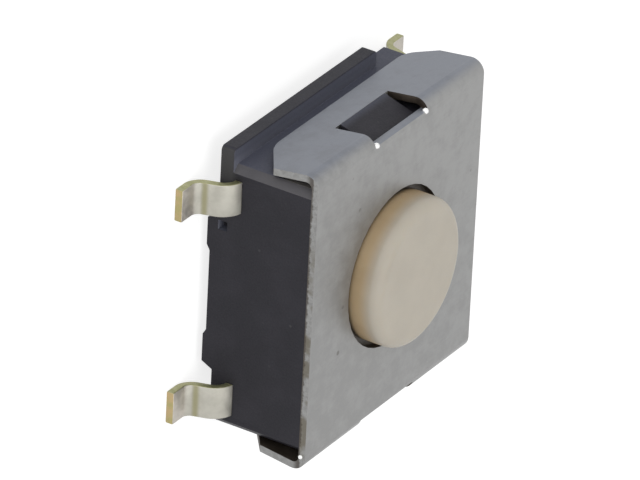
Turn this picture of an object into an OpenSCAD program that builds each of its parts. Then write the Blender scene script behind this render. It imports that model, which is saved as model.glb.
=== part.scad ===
// Low-profile surface-mount tactile push button switch.
// Z = 0 is the seating plane under the solder feet and the button faces +Z.
// X runs across the two lead sides, Y across the two folded flanges of the steel cover.

/* [Base] */
// Length of the moulded base along X, flush with the cut edges of the cover
base_x = 6.0; // [5.6:0.1:7.0]
// Width of the moulded base along Y, between the flanges of the cover
base_y = 5.8; // [5.6:0.1:7.0]
// Height of the base from its feet to its top face
base_h = 2.32; // [2.2:0.02:3.0]
// Clear height under the feet of the base
standoff = 0.15; // [0.05:0.05:0.25]
// Chamfer on the upright corners
corner_cut = 0.15; // [0.05:0.01:0.25]
// How far a ledge stands out from the side of the base, below a flange of the cover
ledge_out = 0.35; // [0.1:0.05:0.4]
// Height of a ledge
ledge_h = 0.30; // [0.1:0.05:0.3]
// Length by which a ledge stops short of one corner
ledge_short = 0.90; // [0.5:0.1:1.5]
// Corner radius of a ledge
ledge_r = 0.10; // [0.05:0.05:0.3]

/* [Underside] */
// Distance from the centre to the outer edge of the foot pads
foot_outer_y = 1.60; // [1.4:0.05:1.7]
// Distance from the centre to the inner edge of the foot pads
foot_inner_y = 1.00; // [0.4:0.05:1.2]
// Width of the sloped side of a foot pad
foot_slope = 0.12; // [0.05:0.01:0.2]
// Height of the corners above the foot pads
corner_rise = 0.24; // [0.1:0.01:0.3]
// Height of the middle above the foot pads
middle_rise = 0.07; // [0.02:0.01:0.2]
// Side of the square mould pocket near a lead, on two opposite corners
pocket_w = 0.20; // [0.1:0.05:0.25]
// Depth of the pocket into the base
pocket_depth = 0.20; // [0.1:0.05:0.4]
// Distance from the centre to the inner side of the pocket
pocket_y = 1.42; // [1.2:0.02:1.6]
// Height of the pocket's lower side above the feet
pocket_rise = 0.25; // [0.1:0.05:0.3]

/* [Cover] */
// Thickness of the cover's sheet
sheet_t = 0.15; // [0.12:0.01:0.18]
// Gap between the lower edge of a flange and the side of the base
cover_gap = 0.02; // [0.01:0.01:0.08]
// Outer radius of the folds
fold_r = 0.28; // [0.22:0.02:0.3]
// Clear height between the lower edge of a flange and the ledge below it
flange_clear = 0.25; // [0.1:0.05:0.5]
// Angle by which a flange leans in past square, in degrees
flange_lean = 7.5; // [6:0.5:10]
// Chamfer on the lower corners of a flange
flange_cut = 0.65; // [0.3:0.05:0.8]
// Length along X of the window across each fold
window_x = 1.90; // [1.5:0.1:2.6]
// Reach of the window into the top face, from the outermost line of the fold
window_in = 0.20; // [0.14:0.02:0.26]
// Reach of the window down the flange, from the cover's top face
window_down = 0.95; // [0.7:0.05:1.1]

/* [Snap lugs] */
// Gap between a lug and each end of its window
lug_end_gap = 0.15; // [0.05:0.01:0.3]
// Gap between a lug and the lower edge of its window
lug_seat_gap = 0.03; // [0.01:0.01:0.1]
// How far a lug stands out past the flange, at its lower end
lug_proud = 0.03; // [0:0.01:0.1]
// Distance from a lug's upper edge to the start of the fold
lug_fold_gap = 0.02; // [0.01:0.01:0.04]

/* [Button] */
// Diameter of the button's stem
stem_d = 3.10; // [2.6:0.1:3.5]
// Clearance on radius between the stem and the hole in the cover
stem_gap = 0.13; // [0.05:0.01:0.2]
// Height of the button above the cover
button_out = 0.60; // [0.4:0.05:1.5]
// Radius of the rim on the button's face
rim_r = 0.25; // [0.05:0.01:0.35]
// Thickness of the flange that keeps the button in
collar_t = 0.40; // [0.2:0.05:0.5]
// Gap between that flange and the cover, at rest
collar_gap = 0.02; // [0.01:0.01:0.04]
// Running clearance on radius between that flange and the cavity
collar_side_gap = 0.10; // [0.05:0.01:0.2]
// Diameter of the nub that presses the dome
nub_d = 1.40; // [0.8:0.1:2]
// Gap between the nub and the dome, at rest
nub_gap = 0.01; // [0:0.01:0.03]
// Travel of the button
travel = 0.25; // [0.15:0.01:0.35]

/* [Cavity and dome] */
// Diameter of the round cavity
cavity_d = 4.60; // [4.3:0.1:4.8]
// Gap on radius between the dome's rim and the cavity
dome_side_gap = 0.20; // [0.1:0.05:0.3]
// Thickness of the spring dome
dome_t = 0.07; // [0.05:0.01:0.1]

/* [Leads] */
// Thickness of the stamped frames
lead_t = 0.17; // [0.12:0.01:0.2]
// Width of a lead
lead_w = 0.70; // [0.5:0.05:0.75]
// Distance between the two leads on one side
lead_pitch = 4.50; // [4.4:0.05:4.6]
// Straight length of a lead outside the base, before its upper bend
lead_out = 0.15; // [0.05:0.05:0.4]
// Outer radius of the upper bend
knee_r = 0.35; // [0.25:0.05:0.5]
// Inner radius of the bend above the foot
heel_r = 0.12; // [0.08:0.01:0.2]
// Length of a foot, from the outer face of the upright leg to the tip
foot_len = 0.48; // [0.35:0.01:0.9]
// Height of the upper face of the leads where they leave the base
exit_z = 0.90; // [0.85:0.05:1.15]

/* [Contacts] */
// Width of the contact ring under the dome's rim
ring_w = 0.70; // [0.4:0.05:0.8]
// Reach of the ring outside the dome's rim
ring_margin = 0.10; // [0.05:0.01:0.1]
// Height of the ring above the floor of the cavity
ring_rise = 0.05; // [0.02:0.01:0.08]
// Diameter of the pad under the dome's centre
pad_d = 1.40; // [0.8:0.1:1.6]
// Width of the tab from the lead to that pad
tab_w = 0.80; // [0.5:0.1:1.2]
// Insulating gap between the two frames
frame_gap = 0.25; // [0.15:0.05:0.35]

/* [Hidden] */
$fn = 96;

// Overrun of a cutting solid past the face it opens
cut = 0.5;

base_top = standoff + base_h;
cover_top = base_top + sheet_t;
ledge_y = base_y / 2 + ledge_out;
fold_z = cover_top - fold_r;
flange_low = standoff + corner_rise + ledge_h + flange_clear;
flange_flat = (fold_z - flange_low - fold_r * sin(flange_lean)) / cos(flange_lean);
lean_in = flange_flat * sin(flange_lean);
cover_y = base_y + 2 * (cover_gap + sheet_t + lean_in);
fold_y = cover_y / 2 - fold_r;
window_low = cover_top - window_down;
floor_z = exit_z;
ring_z = exit_z - lead_t + ring_rise;
ring_top = exit_z + ring_rise;
dome_d = cavity_d - 2 * dome_side_gap;
dome_apex = exit_z + dome_t + travel;
dome_rise = dome_apex - ring_top;
button_top = cover_top + button_out;
collar_top = base_top - collar_gap;
hole_d = stem_d + 2 * stem_gap;
lead_y = lead_pitch / 2;
leg_x = base_x / 2 + lead_out + knee_r;
tip_x = leg_x + foot_len;

// Rectangle about the origin with four corners cut at 45 degrees
module cut_rect(w, d, c) {
    polygon([
        [w / 2, d / 2 - c], [w / 2 - c, d / 2], [c - w / 2, d / 2], [-w / 2, d / 2 - c],
        [-w / 2, c - d / 2], [c - w / 2, -d / 2], [w / 2 - c, -d / 2], [w / 2, c - d / 2]
    ]);
}

// Stands a drawing of Y and Z up, and gives it a length along X about the origin
module along_x(length) {
    rotate([90, 0, 90]) translate([0, 0, -length / 2]) linear_extrude(length) children();
}

// Quarter of a bent strip about its bend axis, in the first quadrant
module bend(outer_r, t) {
    intersection() {
        difference() {
            circle(outer_r);
            circle(outer_r - t);
        }
        square(outer_r);
    }
}

// Both halves of something drawn on the +Y side
module both_y() {
    children();
    mirror([0, 1, 0]) children();
}

// Ledge on the +Y side, flush with the -X face: a bar with two round corners
module ledge() {
    length = base_x - ledge_short;
    translate([-base_x / 2, 0, standoff])
        linear_extrude(corner_rise + ledge_h) {
            square([length, ledge_y - ledge_r]);
            translate([ledge_r, 0]) square([length - 2 * ledge_r, ledge_y]);
            for (x = [ledge_r, length - ledge_r])
                translate([x, ledge_y - ledge_r]) circle(ledge_r);
        }
}

// Outline of the base before it is hollowed
module base_block() {
    ledge();
    rotate([0, 0, 180]) ledge();
    translate([0, 0, standoff])
        linear_extrude(base_h) cut_rect(base_x, base_y, corner_cut);
}

// Wedge on the side of the base that the cover's window snaps over
module snap_lug() {
    seat_z = window_low + lug_seat_gap;
    out_y = cover_y / 2 - (fold_z - window_low) * tan(flange_lean) + lug_proud;
    along_x(window_x - 2 * lug_end_gap)
        polygon([
            [base_y / 2 - cut, seat_z], [out_y, seat_z],
            [fold_y - lug_fold_gap, base_top], [base_y / 2 - cut, base_top]
        ]);
}

// Space under the corners of the base, outside the foot pads
module corner_recess() {
    along_x(base_x + 2 * cut)
        polygon([
            [foot_outer_y, standoff - cut], [foot_outer_y, standoff],
            [foot_outer_y + foot_slope, standoff + corner_rise],
            [base_y, standoff + corner_rise], [base_y, standoff - cut]
        ]);
}

// Shallow space under the middle of the base, between the foot pads
module middle_recess() {
    along_x(base_x + 2 * cut)
        polygon([
            [-foot_inner_y, standoff - cut], [-foot_inner_y, standoff],
            [foot_slope - foot_inner_y, standoff + middle_rise],
            [foot_inner_y - foot_slope, standoff + middle_rise],
            [foot_inner_y, standoff], [foot_inner_y, standoff - cut]
        ]);
}

// Small square pocket in the -X face, between a foot pad and the lead at +Y
module side_pocket() {
    translate([-base_x / 2 - cut, pocket_y, standoff + pocket_rise])
        cube([pocket_depth + cut, pocket_w, pocket_w]);
}

module base() {
    color([0.17, 0.17, 0.19])
        difference() {
            union() {
                base_block();
                both_y() snap_lug();
            }
            translate([0, 0, floor_z]) cylinder(d = cavity_d, h = base_top);
            both_y() corner_recess();
            middle_recess();
            side_pocket();
            rotate([0, 0, 180]) side_pocket();
            center_frame();
            rim_frame();
        }
}

// Section of the cover: top plate, one fold past square and one flange
module cover_half_section() {
    translate([0, cover_top - sheet_t]) square([fold_y, sheet_t]);
    translate([fold_y, fold_z]) {
        intersection() {
            difference() {
                circle(fold_r);
                circle(fold_r - sheet_t);
            }
            union() {
                square(fold_r);
                rotate(-flange_lean) square(fold_r);
            }
        }
        rotate(-flange_lean)
            translate([fold_r - sheet_t, -flange_flat]) square([sheet_t, flange_flat]);
    }
}

// Window across the fold on the +Y side
module fold_window() {
    translate([-window_x / 2, cover_y / 2 - window_in, cover_top - sheet_t - cut])
        cube([window_x, window_in + cut, sheet_t + 2 * cut]);
    translate([-window_x / 2, base_y / 2, window_low])
        cube([window_x, cover_y / 2, fold_z - window_low]);
}

// Corner cut off the lower edge of the flange at +X
module flange_corner() {
    translate([base_x / 2, cover_y / 2 + cut, flange_low])
        rotate([90, 0, 0])
            linear_extrude(2 * cut)
                polygon([
                    [cut, flange_cut + cut], [-flange_cut - cut, -cut], [cut, -cut]
                ]);
}

module cover() {
    color([0.66, 0.66, 0.65])
        difference() {
            both_y() along_x(base_x) cover_half_section();
            translate([0, 0, base_top - cut]) cylinder(d = hole_d, h = sheet_t + 2 * cut);
            both_y() {
                fold_window();
                flange_corner();
                mirror([1, 0, 0]) flange_corner();
            }
        }
}

// Half section of the button: nub, retaining flange and stem with a round rim
module button_section() {
    nub_z = dome_apex + nub_gap;
    collar_z = collar_top - collar_t;
    translate([0, nub_z]) square([nub_d / 2, collar_top - nub_z]);
    translate([0, collar_z]) square([cavity_d / 2 - collar_side_gap, collar_t]);
    translate([0, collar_z]) square([stem_d / 2, button_top - rim_r - collar_z]);
    translate([0, collar_z]) square([stem_d / 2 - rim_r, button_top - collar_z]);
    translate([stem_d / 2 - rim_r, button_top - rim_r])
        intersection() {
            circle(rim_r);
            square(rim_r);
        }
}

module button() {
    color([0.85, 0.78, 0.66]) rotate_extrude() button_section();
}

// Shallow spherical spring that stands on the contact ring
module contact_dome() {
    rim = dome_d / 2;
    sphere_r = (rim * rim + dome_rise * dome_rise) / (2 * dome_rise);
    color([0.78, 0.78, 0.76])
        rotate_extrude()
            intersection() {
                translate([0, dome_apex - sphere_r])
                    difference() {
                        circle(sphere_r, $fn = 360);
                        circle(sphere_r - dome_t, $fn = 360);
                    }
                translate([0, ring_top]) square([rim, dome_rise]);
            }
}

// Section of one stamped strip, from its middle out to one gull-wing foot
module lead_half_section() {
    knee_x = leg_x - knee_r;
    knee_z = exit_z - knee_r;
    heel_x = leg_x + heel_r;
    heel_z = lead_t + heel_r;
    translate([0, exit_z - lead_t]) square([knee_x, lead_t]);
    translate([knee_x, knee_z]) bend(knee_r, lead_t);
    translate([leg_x - lead_t, heel_z]) square([lead_t, knee_z - heel_z]);
    translate([heel_x, heel_z]) rotate(180) bend(heel_r + lead_t, lead_t);
    translate([heel_x, 0]) square([tip_x - heel_x, lead_t]);
}

// Strip with a foot at each end, centred on the row at +Y
module lead_strip() {
    translate([0, lead_y + lead_w / 2, 0])
        rotate([90, 0, 0])
            linear_extrude(lead_w) {
                lead_half_section();
                mirror([1, 0]) lead_half_section();
            }
}

// Frame at -Y: strip, tab and the pad under the dome's centre
module center_frame() {
    mirror([0, 1, 0]) lead_strip();
    translate([0, 0, exit_z - lead_t])
        linear_extrude(lead_t) {
            circle(d = pad_d);
            translate([-tab_w / 2, -lead_y]) square([tab_w, lead_y]);
        }
}

// Frame at +Y: strip, and a neck to the open ring that carries the dome's rim
module rim_frame() {
    outer = dome_d / 2 + ring_margin;
    neck_y = min(outer - ring_w / 2, lead_y - lead_w / 2);
    end_y = lead_y - lead_w / 2 - frame_gap;
    slot = tab_w + 2 * frame_gap;
    lead_strip();
    translate([0, 0, ring_z])
        linear_extrude(lead_t) {
            translate([-tab_w / 2, neck_y]) square([tab_w, lead_y - lead_w / 4 - neck_y]);
            difference() {
                circle(outer);
                circle(outer - ring_w);
                translate([-outer, -2 * outer - end_y]) square(2 * outer);
                translate([-slot / 2, -outer]) square([slot, outer]);
            }
        }
}

module center_contact() {
    color([0.76, 0.75, 0.68]) center_frame();
}

module rim_contact() {
    color([0.76, 0.75, 0.68]) rim_frame();
}

base();
cover();
button();
contact_dome();
center_contact();
rim_contact();
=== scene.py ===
# Looks of a low-profile surface-mount tactile push button switch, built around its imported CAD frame.
# Sizes and places are in millimetres until they go into a mesh or an object.
import math

import bmesh
import bpy
from mathutils import Matrix, Vector


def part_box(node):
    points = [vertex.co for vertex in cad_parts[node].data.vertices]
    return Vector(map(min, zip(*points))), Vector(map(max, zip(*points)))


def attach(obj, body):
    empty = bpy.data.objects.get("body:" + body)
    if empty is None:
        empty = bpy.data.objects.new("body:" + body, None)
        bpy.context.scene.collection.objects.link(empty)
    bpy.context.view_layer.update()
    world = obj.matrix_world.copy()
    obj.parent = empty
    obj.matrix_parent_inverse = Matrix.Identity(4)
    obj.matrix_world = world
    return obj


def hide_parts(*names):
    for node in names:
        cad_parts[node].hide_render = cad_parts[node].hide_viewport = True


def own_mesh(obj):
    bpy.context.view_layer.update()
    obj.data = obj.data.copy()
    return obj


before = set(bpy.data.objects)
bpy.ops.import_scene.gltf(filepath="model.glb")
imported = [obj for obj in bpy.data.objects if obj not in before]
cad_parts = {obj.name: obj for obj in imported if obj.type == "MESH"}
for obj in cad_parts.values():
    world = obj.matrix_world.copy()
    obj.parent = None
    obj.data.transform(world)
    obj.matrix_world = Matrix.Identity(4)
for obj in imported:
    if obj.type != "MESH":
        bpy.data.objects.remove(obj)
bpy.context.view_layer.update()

MM = 0.001

# Camera: the photograph's viewing angle and its frame of 640 by 480 pixels
CAM_RIGHT = Vector((0.5402, 0.0448, 0.8404))
CAM_BACK = Vector((-0.7454, 0.4891, 0.4530))
CAM_DISTANCE = 210.7
CAM_PX_PER_MM = 51.035
CAM_ORIGIN_PX = (282.0, 226.06)
CAM_CLIP = 10, 10000
IMAGE_W, IMAGE_H = 640, 480
SENSOR_MM = 36.0

# Stage: strength 1 is white. The floor's own light is seen, but doesn't fall on the switch
WHITE = (1.0, 1.0, 1.0, 1.0)
WORLD_LIGHT = 0.60
FLOOR_GREY = (0.45, 0.45, 0.45, 1.0)
FLOOR_GLOW = 0.78
FLOOR_HALF = 3000
FLOOR_DROP = 0.002

# Lamps: place, size, and power in watts
KEY_PLACE, KEY_SIZE, KEY_POWER = (-60, 10, 130), 110, 0.040
SIDE_PLACE, SIDE_SIZE, SIDE_POWER = (-120, 120, 45), 90, 0.050

# Rounding of moulded, sheared and stamped edges
BASE_EDGE = 0.045
COVER_EDGE = 0.022
LEAD_EDGE = 0.022
EDGE_STEPS = 2
EDGE_FROM = math.radians(28)

# Flanges: how much shorter they end, how wide the cut at each corner (X, Y) is, and its rounding
FLANGE_SHORT = 0.075
CORNER_CUTS = {(-1, 1): 0.88, (1, 1): 0.40, (-1, -1): 0.70, (1, -1): 0.70}
CORNER_ROUND = 0.22
CORNER_STEPS = 5

# Leads: how far a leg leans in over its height, and how far its heel stands out
LEG_SLOPE = 0.30
HEEL_OUT = 0.06

# Near-white beads that stand in for glints, a painted highlight: radii, and how far one at a window's
# corner stands up, as a share of its radius
WINDOW_GLINT_R = 0.065
EDGE_GLINT_R = 0.05
GLINT_STANDS = 0.3
GLINT_STEPS = 3

# Button: steps around its axis and around its rounded rim, and the angle that counts as a sharp edge
TURN_STEPS = 160
RIM_STEPS = 14
SHARP_FROM = math.radians(35)

# Mesh work: points this close are one, faces this level are one, and what counts as touching or near
MERGE = 0.0005
LEVEL = math.radians(0.6)
TOUCH = 0.001
NEAR = 0.02

# A face's direction: square to an axis, between two axes, or turned away from one
SQUARE = 0.98
DIAGONAL = 0.36
TURNED = 0.3

# Colours in linear light. A pair holds the two ends of a mottling
MOULDED = (0.014, 0.0132, 0.019), (0.021, 0.0197, 0.027)
# Painted highlight: paler tones for two upright corner faces of the base
PAINTED_CORNER_HIGHLIGHT = (0.090, 0.087, 0.096), (0.115, 0.111, 0.120)
# Painted light on the base: lighter long walls, ledge tops, ledge ends and corner gap walls, where the
# flanges shade them
BASE_WALL_PAINTED_LIGHT = (0.086, 0.091, 0.124)
LEDGE_TOP_PAINTED_LIGHT = (0.100, 0.105, 0.137), (0.150, 0.155, 0.195)
LEDGE_END_PAINTED_LIGHT = (0.058, 0.057, 0.060)
GAP_WALL_PAINTED_LIGHT = (0.24, 0.23, 0.22)
DUST = (0.09, 0.09, 0.09)
SHEET_TOP = (0.286, 0.286, 0.283), (0.348, 0.348, 0.345)
# Painted shade: darker, cooler tones for the sheet's faces that turn away from +Z
SHEET_FLANGE_PAINTED_SHADE = (0.192, 0.203, 0.231), (0.238, 0.253, 0.288)
SPECK = (0.09, 0.08, 0.07)
SHEARED = (0.26, 0.26, 0.255), (0.36, 0.36, 0.355)
STAIN = (0.150, 0.132, 0.095)
# Painted shade along the inner side of the sheared edge, next to the base
EDGE_GAP_PAINTED_SHADE = (0.065, 0.052, 0.042)
# Painted shade: dark brown for the sheet's inner faces and the wall of the button's hole
INNER_PAINTED_SHADE = (0.060, 0.047, 0.036), (0.095, 0.076, 0.060)
# Painted highlight: near-white for the beads that stand in for glints
GLINT_WHITE = (0.97, 0.97, 0.96), (1.0, 1.0, 0.99)
BUTTON_FACE = (0.510, 0.464, 0.388), (0.545, 0.498, 0.416)
# Painted shade: browner tones down the button's side and dark below the cover's top
BUTTON_SIDE_PAINTED_SHADE = (0.470, 0.345, 0.200), (0.530, 0.396, 0.235)
BUTTON_INSIDE_PAINTED_SHADE = (0.060, 0.048, 0.036)
SPRING = (0.58, 0.57, 0.54), (0.70, 0.69, 0.66)
LEG_PLATING = (0.465, 0.450, 0.395), (0.555, 0.540, 0.480)
FOOT_PLATING = (0.52, 0.49, 0.44), (0.66, 0.62, 0.56)
# Painted shade: a dark yellowish band at the leads' crease
CREASE_PAINTED_SHADE = (0.30, 0.28, 0.13)
LEAD_CUT = (0.33, 0.33, 0.17), (0.44, 0.43, 0.26)
LEAD_TIP = (0.42, 0.37, 0.17), (0.52, 0.40, 0.22)


# Sizes read from the frame

def box_mm(node):
    low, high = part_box(node)
    return low / MM, high / MM


def points_mm(node):
    return [vertex.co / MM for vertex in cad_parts[node].data.vertices]


base_high = box_mm("base")[1]
cover_low, cover_high = box_mm("cover")
lead_high = box_mm("rim_contact")[1]
SIDE_X = cover_high.x
TOP_Z = cover_high.z
FLANGE_Z = cover_low.z
WALL_Y = max(abs(p.y) for p in points_mm("base") if abs(p.x) > SIDE_X / 2 and p.z > TOP_Z / 2)
LEDGE_Y = base_high.y
LEDGE_Z = max(p.z for p in points_mm("base") if abs(p.y) > LEDGE_Y - TOUCH)
TIP_X = lead_high.x
EXIT_Z = lead_high.z
LEG_X = max(abs(p.x) for p in points_mm("rim_contact") if p.z > EXIT_Z / 2)
STEM_R = max(math.hypot(p.x, p.y) for p in points_mm("button") if p.z > TOP_Z)

# Where tones change, from the place that they follow
WALL_TOP_Z = FLANGE_Z + 0.66, FLANGE_Z + 0.96
LEDGE_EDGE_Y = LEDGE_Y - 0.05, LEDGE_Y + 0.01
LEDGE_BACK_Y = WALL_Y + 0.04, WALL_Y + 0.20
CORNER_Y = WALL_Y - 0.50, WALL_Y - 0.30
CORNER_Z = LEDGE_Z - 0.07, LEDGE_Z + 0.11
GAP_X = SIDE_X - 0.80, SIDE_X - 0.50
SHEET_EDGE_Z = TOP_Z - 0.30, TOP_Z - 0.16
STAINED_Y = 1.0, 2.0
BUTTON_SIDE_Z = TOP_Z + 0.12, TOP_Z + 0.46
BUTTON_INSIDE_Z = TOP_Z - 0.14, TOP_Z - 0.02
FOOT_X = LEG_X + 0.02, LEG_X + 0.12
CREASE_X = LEG_X - 0.065, LEG_X - 0.030

# Places of the given shapes: the legs of the leads, the glint bead on the sheared edge, and how far from
# the axis the wall of the button's hole reaches
LEG_SPAN_X = LEG_X - 0.5, LEG_X + 0.2
EDGE_GLINT = Vector((-SIDE_X, -WALL_Y - 0.04, TOP_Z - 0.10))
HOLE_REACH = STEM_R + 0.55


# Node helpers

class Tree:
    """A node tree, with short names for the nodes that these materials use."""

    def __init__(self, tree):
        self.tree = tree
        self.tree.nodes.clear()

    def add(self, kind, **settings):
        node = self.tree.nodes.new(kind)
        for key, value in settings.items():
            setattr(node, key, value)
        return node

    def link(self, source, target):
        """Feeds a socket from another socket, or gives it a number."""
        if isinstance(source, (int, float)):
            target.default_value = source
        else:
            self.tree.links.new(source, target)

    def ramp(self, value, low, high, at_low=0.0, at_high=1.0):
        """Eases from one value to another as the input goes from low to high."""
        node = self.add("ShaderNodeMapRange", interpolation_type="SMOOTHSTEP")
        node.inputs["From Min"].default_value = low
        node.inputs["From Max"].default_value = high
        node.inputs["To Min"].default_value = at_low
        node.inputs["To Max"].default_value = at_high
        self.link(value, node.inputs["Value"])
        return node.outputs["Result"]

    def fade(self, value, low, high):
        """1 below low, 0 above high."""
        return self.ramp(value, low, high, 1.0, 0.0)

    def math(self, operation, a, b=0.0):
        node = self.add("ShaderNodeMath", operation=operation)
        self.link(a, node.inputs[0])
        self.link(b, node.inputs[1])
        return node.outputs[0]

    def size(self, value):
        """A value without its sign."""
        return self.math("ABSOLUTE", value)

    def product(self, first, *others):
        for other in others:
            first = self.math("MULTIPLY", first, other)
        return first

    def seen(self):
        """1 for the camera's rays and for those in reflections and glass, 0 for the light's."""
        rays = self.add("ShaderNodeLightPath").outputs
        seen = self.math("MAXIMUM", rays["Is Camera Ray"], rays["Is Glossy Ray"])
        return self.math("MAXIMUM", seen, rays["Is Transmission Ray"])


class Material(Tree):
    """A material's node tree, from a Principled shader and the surface's place in millimetres."""

    def __init__(self, name):
        self.material = bpy.data.materials.new(name)
        self.material.use_nodes = True
        super().__init__(self.material.node_tree)
        self.shader = self.add("ShaderNodeBsdfPrincipled")
        output = self.add("ShaderNodeOutputMaterial")
        self.link(self.shader.outputs["BSDF"], output.inputs["Surface"])
        self.mm = self.scaled(self.add("ShaderNodeTexCoord").outputs["Object"], (1 / MM, 1 / MM, 1 / MM))

    def set(self, **values):
        """Sets the shader's inputs by name, with _ for a space."""
        for key, value in values.items():
            self.shader.inputs[key.replace("_", " ")].default_value = value

    def scaled(self, vector, factors):
        node = self.add("ShaderNodeMapping")
        node.inputs["Scale"].default_value = factors
        self.link(vector, node.inputs["Vector"])
        return node.outputs["Vector"]

    def axis(self, vector, name):
        node = self.add("ShaderNodeSeparateXYZ")
        self.link(vector, node.inputs[0])
        return node.outputs[name]

    def place(self, axis):
        """Where the surface lies along X, Y or Z."""
        return self.axis(self.mm, axis)

    def facing(self, axis):
        """How far the surface faces along X, Y or Z, from -1 to 1."""
        return self.axis(self.add("ShaderNodeNewGeometry").outputs["Normal"], axis)

    def noise(self, per_mm, detail=4.0, rough=0.55, stretch=None):
        """Noise with that many features a millimetre; stretch squeezes it along each axis."""
        node = self.add("ShaderNodeTexNoise")
        node.inputs["Scale"].default_value = per_mm
        node.inputs["Detail"].default_value = detail
        node.inputs["Roughness"].default_value = rough
        self.link(self.scaled(self.mm, stretch) if stretch else self.mm, node.inputs["Vector"])
        return node.outputs["Fac"]

    def spots(self, per_mm, radius):
        """1 in small round spots, 0 elsewhere."""
        node = self.add("ShaderNodeTexVoronoi")
        node.inputs["Scale"].default_value = per_mm
        self.link(self.mm, node.inputs["Vector"])
        return self.fade(node.outputs["Distance"], radius / 2, radius)

    def band(self, value, low, high, soft):
        """1 between low and high, 0 outside, with soft edges."""
        rise = self.ramp(value, low - soft, low + soft)
        return self.product(rise, self.fade(value, high - soft, high + soft))

    def mix(self, amount, a, b):
        """Colour a where amount is 0 and b where it is 1. A colour is a tuple or a socket."""
        node = self.add("ShaderNodeMix", data_type="RGBA")
        self.link(amount, node.inputs[0])
        for colour, target in ((a, node.inputs[6]), (b, node.inputs[7])):
            if isinstance(colour, tuple):
                target.default_value = (*colour, 1.0)
            else:
                self.link(colour, target)
        return node.outputs[2]

    def colour(self, source):
        self.link(source, self.shader.inputs["Base Color"])

    def roughness(self, source, low, high, start=0.3, end=0.7):
        """Roughness from low to high as the source goes from start to end."""
        self.link(self.ramp(source, start, end, low, high), self.shader.inputs["Roughness"])

    def bump(self, height, depth_mm):
        node = self.add("ShaderNodeBump")
        node.inputs["Strength"].default_value = 1.0
        node.inputs["Distance"].default_value = depth_mm * MM
        self.link(height, node.inputs["Height"])
        self.link(node.outputs["Normal"], self.shader.inputs["Normal"])


# Materials

def base_material(name, tones):
    """Black moulded plastic: fine grain, faint flow marks and dust, with painted light: paler long walls,
    ledge tops, ledge ends and corner gap walls, where the flanges shade them.
    """
    n = Material(name)
    side_x, side_y, z = n.size(n.place("X")), n.size(n.place("Y")), n.place("Z")
    flow = n.ramp(n.noise(1.3, detail=3.0), 0.35, 0.7)
    grain = n.noise(24.0, detail=5.0, rough=0.65)
    dust = n.product(n.spots(3.2, 0.12), n.ramp(n.noise(1.1, detail=2.0), 0.5, 0.7))
    long_side = n.ramp(n.size(n.facing("Y")), 0.75, 0.9)
    upper = n.ramp(z, *WALL_TOP_Z)
    lower = n.product(n.fade(z, *WALL_TOP_Z), n.fade(side_y, *LEDGE_EDGE_Y))
    ledge_top = n.product(n.ramp(n.facing("Z"), 0.3, 0.8), lower)
    end_facing = n.ramp(n.size(n.facing("X")), 0.4, 0.8)
    ledge_end = n.product(n.ramp(side_y, *CORNER_Y), n.fade(z, *CORNER_Z), end_facing)
    gap_wall = n.product(long_side, n.ramp(side_x, *GAP_X), upper)
    # Painted light: lighter tones on the long walls, the ledge tops, the ledge ends and the walls in the
    # corner gaps, in place of the shade that falls there
    plastic = n.mix(n.product(long_side, lower), n.mix(flow, *tones), BASE_WALL_PAINTED_LIGHT)
    plastic = n.mix(ledge_top, plastic, n.mix(n.fade(side_y, *LEDGE_BACK_Y), *LEDGE_TOP_PAINTED_LIGHT))
    plastic = n.mix(gap_wall, plastic, GAP_WALL_PAINTED_LIGHT)
    plastic = n.mix(ledge_end, plastic, LEDGE_END_PAINTED_LIGHT)
    n.colour(n.mix(n.product(dust, 0.5), plastic, DUST))
    n.roughness(grain, 0.50, 0.64)
    n.set(Specular_IOR_Level=0.32)
    n.bump(n.math("ADD", grain, n.product(flow, 1.5)), 0.004)
    return n.material


def cover_material():
    """Tinned steel sheet: satin, faint rolled grain along X, mottling and specks; painted shade makes the
    flanges darker and cooler, and painted light lightens the sheet towards +X and +Y.
    """
    n = Material("cover_sheet")
    rolled = n.noise(6.0, rough=0.6, stretch=(0.25, 4.0, 4.0))
    mottle = n.noise(2.6, detail=6.0, rough=0.7)
    fine = n.noise(18.0, detail=5.0, rough=0.7)
    specks = n.product(n.spots(1.4, 0.09), n.ramp(n.noise(0.9, detail=2.0), 0.52, 0.62))
    tone = n.math("ADD", n.product(mottle, 0.85), n.product(rolled, 0.15))
    # Painted light: a gentle gradient, lighter towards +X and +Y, as from a lamp's falloff
    painted_light_sweep = n.product(n.math("ADD", n.place("X"), n.place("Y")), 0.014)
    shade = n.ramp(n.math("ADD", tone, painted_light_sweep), 0.35, 0.65)
    # Painted shade: faces turned away from +Z take the darker, cooler flange tones
    upward = n.ramp(n.facing("Z"), 0.15, 0.95)
    sheet = n.mix(upward, n.mix(shade, *SHEET_FLANGE_PAINTED_SHADE), n.mix(shade, *SHEET_TOP))
    n.colour(n.mix(n.product(specks, 0.6), sheet, SPECK))
    n.roughness(tone, 0.36, 0.46)
    n.set(Metallic=0.55)
    n.bump(n.math("ADD", n.product(fine, 0.5), n.product(rolled, 0.5)), 0.004)
    return n.material


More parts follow.
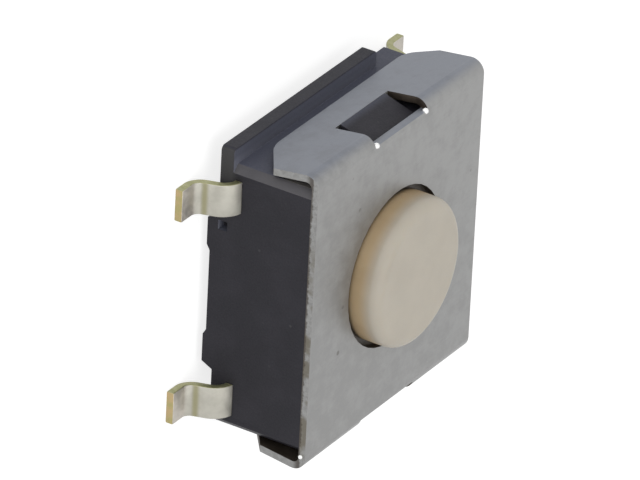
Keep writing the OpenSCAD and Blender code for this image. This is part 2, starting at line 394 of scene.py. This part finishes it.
def cover_edge_material():
    """Sheared edge of the sheet: duller, with brown stains, and a ragged dark inner side that is painted
    shade next to the base.
    """
    n = Material("cover_sheared_edge")
    z = n.place("Z")
    plate = n.ramp(z, *SHEET_EDGE_Z)
    patches = n.ramp(n.noise(2.2, detail=3.0, rough=0.5), 0.46, 0.62)
    stain = n.product(patches, n.fade(n.place("Y"), *STAINED_Y), plate)
    rough = n.noise(9.0, rough=0.7)
    depth = n.math("SUBTRACT", TOP_Z, z)
    ragged = n.math("ADD", depth, n.product(n.noise(7.0, rough=0.7), 0.16))
    # Painted shade: the lower part of the plate's cut edge darkens along a ragged line, next to the base
    inner = n.product(n.ramp(ragged, 0.175, 0.215), plate)
    steel = n.mix(n.ramp(rough, 0.35, 0.65), *SHEARED)
    stained = n.mix(n.product(stain, 0.8), steel, STAIN)
    n.colour(n.mix(n.product(inner, 0.8), stained, EDGE_GAP_PAINTED_SHADE))
    n.roughness(rough, 0.38, 0.55)
    n.set(Metallic=0.6)
    n.bump(rough, 0.006)
    return n.material


def cover_inner_material():
    """Inner face of the sheet, painted dark brown as the shade in the gaps where it shows."""
    n = Material("cover_inner_painted_shade")
    inner_mottle = n.ramp(n.noise(2.0, rough=0.6), 0.35, 0.65)
    n.colour(n.mix(inner_mottle, *INNER_PAINTED_SHADE))
    n.roughness(inner_mottle, 0.45, 0.60, start=0.0, end=1.0)
    n.set(Metallic=0.6)
    n.bump(n.noise(18.0, rough=0.6), 0.004)
    return n.material


def glint_material():
    """Near-white shiny metal for beads that stand in for glints, a painted highlight."""
    n = Material("cover_painted_glint")
    n.colour(n.mix(n.noise(12.0), *GLINT_WHITE))
    n.roughness(n.noise(20.0), 0.14, 0.24)
    n.set(Metallic=0.7)
    return n.material


def button_material():
    """Beige moulded plastic, smooth and slightly waxy, with painted shade: browner down its side and dark
    below the cover's top.
    """
    n = Material("button_moulding")
    z = n.place("Z")
    cloud = n.ramp(n.noise(1.2, detail=3.0, rough=0.5), 0.3, 0.7)
    grain = n.noise(22.0, rough=0.6)
    face, side = n.mix(cloud, *BUTTON_FACE), n.mix(cloud, *BUTTON_SIDE_PAINTED_SHADE)
    # Painted shade: the side is browner than the face, and the part below the cover's top is dark
    outside = n.mix(n.ramp(z, *BUTTON_SIDE_Z), side, face)
    n.colour(n.mix(n.ramp(z, *BUTTON_INSIDE_Z), BUTTON_INSIDE_PAINTED_SHADE, outside))
    n.roughness(grain, 0.42, 0.52)
    n.set(Subsurface_Weight=0.12, Subsurface_Scale=0.2 * MM, Subsurface_Radius=(1.0, 0.6, 0.35))
    n.bump(grain, 0.002)
    return n.material


def dome_material():
    """Bright stainless spring sheet with a rolled grain."""
    n = Material("dome_spring")
    rolled = n.noise(8.0, rough=0.6, stretch=(0.3, 5.0, 1.0))
    n.colour(n.mix(rolled, *SPRING))
    n.roughness(rolled, 0.2, 0.32)
    n.set(Metallic=1.0)
    n.bump(rolled, 0.002)
    return n.material


def plating_material():
    """Silver plating on the broad faces of the leads: pinkish on the feet, with a dark yellowish band at
    the crease as painted shade.
    """
    n = Material("lead_plating")
    side_x = n.size(n.place("X"))
    haze = n.ramp(n.noise(3.0, rough=0.6), 0.35, 0.65)
    plated = n.mix(n.ramp(side_x, *FOOT_X), n.mix(haze, *LEG_PLATING), n.mix(haze, *FOOT_PLATING))
    # Painted shade: a dark band across the leg at the crease
    crease_shade = n.band(side_x, *CREASE_X, soft=0.015)
    n.colour(n.mix(n.product(crease_shade, 0.70), plated, CREASE_PAINTED_SHADE))
    n.roughness(haze, 0.50, 0.60, start=0.0, end=1.0)
    n.set(Metallic=0.85)
    n.bump(n.noise(14.0, rough=0.65), 0.004)
    return n.material


def cut_material(name, tones):
    """Bare copper alloy on a sheared edge, streaked across the sheet's thickness."""
    n = Material(name)
    streak = n.noise(5.0, rough=0.6, stretch=(2.0, 1.0, 1.0))
    n.colour(n.mix(n.ramp(streak, 0.35, 0.65), *tones))
    n.roughness(streak, 0.42, 0.56)
    n.set(Metallic=0.9)
    n.bump(streak, 0.006)
    return n.material


def floor_material():
    """Pale floor that looks white to the camera and in reflections, and keeps the shadow."""
    material = bpy.data.materials.new("floor_white")
    material.use_nodes = True
    n = Tree(material.node_tree)
    lit = n.add("ShaderNodeBsdfDiffuse")
    lit.inputs["Color"].default_value = FLOOR_GREY
    glow = n.add("ShaderNodeEmission")
    n.link(n.product(n.seen(), FLOOR_GLOW), glow.inputs["Strength"])
    both = n.add("ShaderNodeAddShader")
    n.link(lit.outputs[0], both.inputs[0])
    n.link(glow.outputs[0], both.inputs[1])
    n.link(both.outputs[0], n.add("ShaderNodeOutputMaterial").inputs["Surface"])
    return material


# Geometry helpers

def new_object(name, data, *materials):
    """A new object in the scene. A mesh gets its material slots in that order."""
    thing = bpy.data.objects.new(name, data)
    bpy.context.scene.collection.objects.link(thing)
    for material in materials:
        data.materials.append(material)
    return thing


def write_smooth(bm, mesh):
    """Writes a bmesh to a mesh with smooth faces, and frees it."""
    for face in bm.faces:
        face.smooth = True
    bm.to_mesh(mesh)
    bm.free()


def merged_copy(node, name):
    """A copy of a CAD node's mesh with its flat faces merged, ready to have its edges rounded."""
    mesh = bpy.data.meshes.new(name)
    bm = bmesh.new()
    bm.from_mesh(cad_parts[node].data)
    bmesh.ops.remove_doubles(bm, verts=bm.verts, dist=MERGE * MM)
    bmesh.ops.dissolve_limit(bm, angle_limit=LEVEL, verts=bm.verts, edges=bm.edges)
    write_smooth(bm, mesh)
    return mesh


def round_edges(piece, edge):
    """Rounds the sharp edges of a piece and keeps its flat faces flat in shading."""
    bevel = piece.modifiers.new("edge_round", "BEVEL")
    bevel.width = edge * MM
    bevel.segments = EDGE_STEPS
    bevel.limit_method = "ANGLE"
    bevel.angle_limit = EDGE_FROM
    bevel.use_clamp_overlap = True
    bevel.miter_outer = "MITER_ARC"
    normals = piece.modifiers.new("flat_faces", "WEIGHTED_NORMAL")
    normals.keep_sharp = True
    depsgraph = bpy.context.evaluated_depsgraph_get()
    rounded = bpy.data.meshes.new_from_object(piece.evaluated_get(depsgraph))
    piece.modifiers.clear()
    piece.data = rounded


# Pieces

def make_base():
    """The moulded base. Two opposite upright corners are paler, a painted highlight, as the one in the
    photo is.
    """
    mesh = merged_copy("base", "base_moulding")
    for face in mesh.polygons:
        # Painted highlight: the diagonal corner faces above the ledge take the paler material
        paler = face.normal.x * face.normal.y < -DIAGONAL and face.center.z > LEDGE_Z * MM
        face.material_index = int(paler)
    piece = new_object(
        "base_moulding", mesh,
        base_material("base_moulding", MOULDED), base_material("base_corner_painted_highlight", PAINTED_CORNER_HIGHLIGHT),
    )
    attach(piece, "housing")
    round_edges(piece, BASE_EDGE)
    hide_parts("base")


def trim_flanges(mesh):
    """Trims the flanges to the length and the rounded corners that the real sheet has."""
    bm = bmesh.new()
    bm.from_mesh(mesh)
    low_edge = [v for v in bm.verts if v.co.z < (FLANGE_Z + NEAR) * MM]
    for v in low_edge:
        above = max((edge.other_vert(v) for edge in v.link_edges), key=lambda other: other.co.z)
        rise = above.co - v.co
        cut = CORNER_CUTS[math.copysign(1, v.co.x), math.copysign(1, v.co.y)]
        v.co.x = math.copysign((SIDE_X - cut) * MM, v.co.x)
        v.co.y += rise.y / rise.z * FLANGE_SHORT * MM
        v.co.z += FLANGE_SHORT * MM
    across = [
        edge for edge in bm.edges
        if all(v in low_edge for v in edge.verts)
        and abs(edge.verts[0].co.x - edge.verts[1].co.x) < TOUCH * MM
    ]
    bmesh.ops.bevel(
        bm, geom=across, affect="EDGES", offset_type="OFFSET", offset=CORNER_ROUND * MM,
        segments=CORNER_STEPS, profile=0.5,
    )
    write_smooth(bm, mesh)


def cover_slot(face):
    """0 for the sheet's outer face, 1 for its sheared ends and 2 for what lies inside."""
    across = abs(face.normal.x) > SQUARE
    if across and abs(face.center.x) > (SIDE_X - NEAR) * MM:
        return 1
    inward = face.normal.z < -TURNED or face.normal.y * math.copysign(1, face.center.y) < -TURNED
    by_hole = math.hypot(face.center.x, face.center.y) < HOLE_REACH * MM
    if across or inward or (by_hole and face.normal.z < TURNED):
        return 2
    return 0


def make_cover():
    """The folded cover."""
    mesh = merged_copy("cover", "cover_sheet")
    trim_flanges(mesh)
    for face in mesh.polygons:
        face.material_index = cover_slot(face)
    piece = new_object("cover_sheet", mesh, cover_material(), cover_edge_material(), cover_inner_material())
    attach(piece, "housing")
    round_edges(piece, COVER_EDGE)
    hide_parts("cover")


def window_corners():
    """The two corners of the +Y window on the cover's top face."""
    rim = [
        p for p in points_mm("cover")
        if abs(p.x) < SIDE_X / 2 and p.y > WALL_Y and p.z > TOP_Z - NEAR
    ]
    inner_y = min(p.y for p in rim)
    inner = [p for p in rim if p.y < inner_y + TOUCH]
    return [min(inner, key=lambda p: p.x), max(inner, key=lambda p: p.x)]


def make_glint_beads():
    """Small near-white beads at the window's corners and on the sheared edge, a painted highlight where
    glints show.
    """
    beads = [(EDGE_GLINT, EDGE_GLINT_R)]
    for corner in window_corners():
        inward = Vector((math.copysign(WINDOW_GLINT_R, corner.x), 0, WINDOW_GLINT_R * GLINT_STANDS))
        beads.append((corner - inward, WINDOW_GLINT_R))
    bm = bmesh.new()
    for place, radius in beads:
        bmesh.ops.create_icosphere(
            bm, subdivisions=GLINT_STEPS, radius=radius * MM, matrix=Matrix.Translation(place * MM)
        )
    mesh = bpy.data.meshes.new("painted_glint_beads")
    write_smooth(bm, mesh)
    piece = new_object("painted_glint_beads", mesh, glint_material())
    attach(piece, "housing")


def slope_legs(mesh):
    """Leans each leg in towards the base as it rises, on a slightly longer heel."""
    for vertex in mesh.vertices:
        side = abs(vertex.co.x)
        if LEG_SPAN_X[0] * MM < side < LEG_SPAN_X[1] * MM:
            moved = HEEL_OUT - LEG_SLOPE * vertex.co.z / (EXIT_Z * MM)
            vertex.co.x = math.copysign(side + moved * MM, vertex.co.x)


def lead_slot(face):
    """0 for the plated faces, 1 for the sheared edges and 2 for the tips."""
    if abs(face.normal.x) > SQUARE and abs(face.center.x) > (TIP_X - NEAR) * MM:
        return 2
    return int(abs(face.normal.y) > SQUARE)


def make_lead_frame(node, name, materials):
    """One contact frame with its two gull-wing leads."""
    mesh = merged_copy(node, name)
    slope_legs(mesh)
    for face in mesh.polygons:
        face.material_index = lead_slot(face)
    piece = new_object(name, mesh, *materials)
    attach(piece, "housing")
    round_edges(piece, LEAD_EDGE)
    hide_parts(node)


def button_profile():
    """Radius and height along the button's section, from the axis below to the axis above."""
    low, high = box_mm("button")
    points = [(math.hypot(p.x, p.y), p.z) for p in points_mm("button")]
    nub_r = max(r for r, z in points if z < low.z + TOUCH)
    collar = [z for r, z in points if r > high.x - TOUCH]
    rim_r = high.z - max(z for r, z in points if r > STEM_R - TOUCH)
    rim = [
        (STEM_R - rim_r + rim_r * math.cos(a), high.z - rim_r + rim_r * math.sin(a))
        for a in (math.pi / 2 * k / RIM_STEPS for k in range(RIM_STEPS + 1))
    ]
    foot = [(nub_r, low.z), (nub_r, min(collar)), (high.x, min(collar)), (high.x, max(collar))]
    return [(0, low.z), *foot, (STEM_R, max(collar)), *rim, (0, high.z)]


def turned_mesh(name, section):
    """A closed mesh, turned from a section of (radius, height) that starts and ends on the axis."""
    (_, low_z), *ring, (_, high_z) = section
    points = [(0, 0, low_z), (0, 0, high_z)]
    faces = []
    last = len(ring) - 1
    for step in range(TURN_STEPS):
        angle = 2 * math.pi * step / TURN_STEPS
        points += [(r * math.cos(angle), r * math.sin(angle), z) for r, z in ring]
        here = 2 + len(ring) * step
        there = 2 + len(ring) * ((step + 1) % TURN_STEPS)
        faces += [(0, there, here), (1, here + last, there + last)]
        faces += [(here + i, there + i, there + i + 1, here + i + 1) for i in range(last)]
    mesh = bpy.data.meshes.new(name)
    mesh.from_pydata([Vector(point) * MM for point in points], [], faces)
    mesh.shade_smooth()
    mesh.set_sharp_from_angle(angle=SHARP_FROM)
    return mesh


def make_button():
    """The button turned again on the CAD's own radii, in finer steps."""
    mesh = turned_mesh("button_moulding", button_profile())
    piece = new_object("button_moulding", mesh, button_material())
    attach(piece, "button")
    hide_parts("button")


def make_dome():
    """The spring dome, copied from its CAD node."""
    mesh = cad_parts["contact_dome"].data.copy()
    mesh.materials.clear()
    piece = new_object("dome_spring", mesh, dome_material())
    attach(piece, "housing")
    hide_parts("contact_dome")
    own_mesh(piece)


# Stage

def make_floor():
    """A wide floor just below the solder feet."""
    half = FLOOR_HALF * MM
    mesh = bpy.data.meshes.new("floor")
    corners = [(x * half, y * half, 0) for x, y in ((-1, -1), (1, -1), (1, 1), (-1, 1))]
    mesh.from_pydata(corners, [], [(0, 1, 2, 3)])
    floor = new_object("floor", mesh, floor_material())
    floor.location.z = -FLOOR_DROP * MM


def make_world():
    """White to the camera and in reflections, a soft grey light on the switch."""
    world = bpy.data.worlds.new("studio")
    bpy.context.scene.world = world
    world.use_nodes = True
    n = Tree(world.node_tree)
    background = n.add("ShaderNodeBackground")
    background.inputs["Color"].default_value = WHITE
    n.link(n.ramp(n.seen(), 0.0, 1.0, WORLD_LIGHT, 1.0), background.inputs["Strength"])
    n.link(background.outputs[0], n.add("ShaderNodeOutputWorld").inputs["Surface"])


def add_lamp(name, place, size, watts):
    """A square area lamp that faces the switch."""
    light = bpy.data.lights.new(name, "AREA")
    light.size = size * MM
    light.energy = watts
    lamp = new_object(name, light)
    lamp.location = Vector(place) * MM
    lamp.rotation_mode = "QUATERNION"
    lamp.rotation_quaternion = (-lamp.location).to_track_quat("-Z", "Y")


def make_camera():
    """The camera that the photo was fitted with: the switch's origin falls on CAM_ORIGIN_PX."""
    right = CAM_RIGHT.normalized()
    back = (CAM_BACK - CAM_BACK.dot(right) * right).normalized()
    up = back.cross(right)
    off_x, off_y = IMAGE_W / 2 - CAM_ORIGIN_PX[0], CAM_ORIGIN_PX[1] - IMAGE_H / 2
    place = (right * off_x + up * off_y) / CAM_PX_PER_MM + back * CAM_DISTANCE
    camera = bpy.data.cameras.new("camera")
    camera.sensor_width = SENSOR_MM
    camera.lens = CAM_PX_PER_MM * CAM_DISTANCE / IMAGE_W * SENSOR_MM
    camera.clip_start, camera.clip_end = (distance * MM for distance in CAM_CLIP)
    holder = new_object("camera", camera)
    turn = Matrix((right, up, back)).transposed()
    holder.matrix_world = Matrix.Translation(place * MM) @ turn.to_4x4()
    bpy.context.scene.camera = holder


make_camera()
make_base()
make_cover()
make_glint_beads()
lead_materials = (
    plating_material(),
    cut_material("lead_cut_edge", LEAD_CUT),
    cut_material("lead_tip", LEAD_TIP),
)
make_lead_frame("center_contact", "center_lead_frame", lead_materials)
make_lead_frame("rim_contact", "rim_lead_frame", lead_materials)
make_button()
make_dome()
make_floor()
make_world()
add_lamp("key", KEY_PLACE, KEY_SIZE, KEY_POWER)
add_lamp("side", SIDE_PLACE, SIDE_SIZE, SIDE_POWER)

bpy.context.scene.view_settings.view_transform = "Standard"
